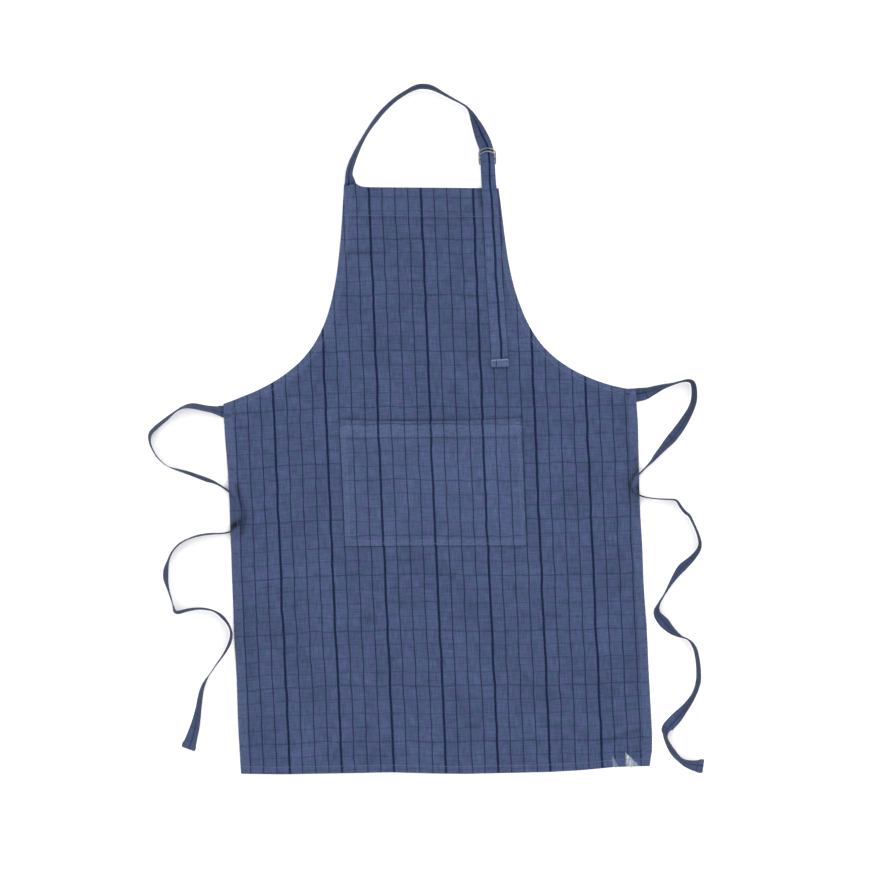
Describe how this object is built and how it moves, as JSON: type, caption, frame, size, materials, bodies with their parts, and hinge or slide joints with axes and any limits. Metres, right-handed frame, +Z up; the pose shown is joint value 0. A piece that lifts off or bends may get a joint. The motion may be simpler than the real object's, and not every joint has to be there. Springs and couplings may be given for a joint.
{
  "type": "bib apron",
  "caption": "Checked cotton bib apron laid flat, with a front pocket, long waist ties and a neck strap that adjusts through two D rings.",
  "frame": {"origin": "on the surface the apron lies on, under the middle of the body and neck loop, measured without the waist ties", "axes": "+Z up out of the cloth's face, +Y from the bottom hem towards the neck loop, +X to the right of someone looking down at the face"},
  "size_m": [0.7986, 1.0077, 0.02],
  "materials": {
    "apron_cloth": "yarn-dyed blue cotton with a fine dark check",
    "strap_cloth": "the same cotton, folded and stitched into a strip",
    "thread": "pale blue cotton sewing thread",
    "ring_metal": "nickel plated wire"
  },
  "bodies": {
    "apron": {"main_panel": "apron_cloth", "top_hem": "apron_cloth", "bottom_hem": "apron_cloth", "armhole_facing_left": "apron_cloth", "armhole_facing_right": "apron_cloth", "side_hem_left": "apron_cloth", "side_hem_right": "apron_cloth", "pocket_panel": "apron_cloth", "pocket_mouth_hem": "apron_cloth", "neck_loop": "strap_cloth", "ring_tab": "strap_cloth", "tie_left": "strap_cloth", "tie_right": "strap_cloth", "top_hem_stitching": "thread", "bottom_hem_stitching": "thread", "armhole_stitching_left": "thread", "armhole_stitching_right": "thread", "side_stitching_left": "thread", "side_stitching_right": "thread", "tie_stitching_left": "thread", "tie_stitching_right": "thread", "strap_root_stitching": "thread", "ring_tab_stitching": "thread", "pocket_stitching": "thread", "pocket_mouth_stitching": "thread", "pocket_bar_tack_left": "thread", "pocket_bar_tack_right": "thread"},
    "strap_tail": {"strap_tail": "strap_cloth", "tail_end_stitching": "thread"},
    "ring_front": {"ring_front": "ring_metal"},
    "ring_back": {"ring_back": "ring_metal"}
  },
  "joints": [
    {"name": "ring_front_tilt", "type": "hinge", "parent": "apron", "child": "ring_front", "pos_m": [0.1, 0.387, 0.00215], "axis": [1, 0, 0], "range_deg": [0, 65]},
    {"name": "ring_back_tilt", "type": "hinge", "parent": "apron", "child": "ring_back", "pos_m": [0.1, 0.38, 0.00215], "axis": [1, 0, 0], "range_deg": [0, 65]},
    {"name": "strap_adjust", "type": "slide", "parent": "apron", "child": "strap_tail", "axis": [0, -1, 0], "range_m": [-0.015, 0.04]}
  ],
  "couplings": [
    {"joint": "ring_back_tilt", "follows": "ring_front_tilt", "ratio": 1}
  ]
}
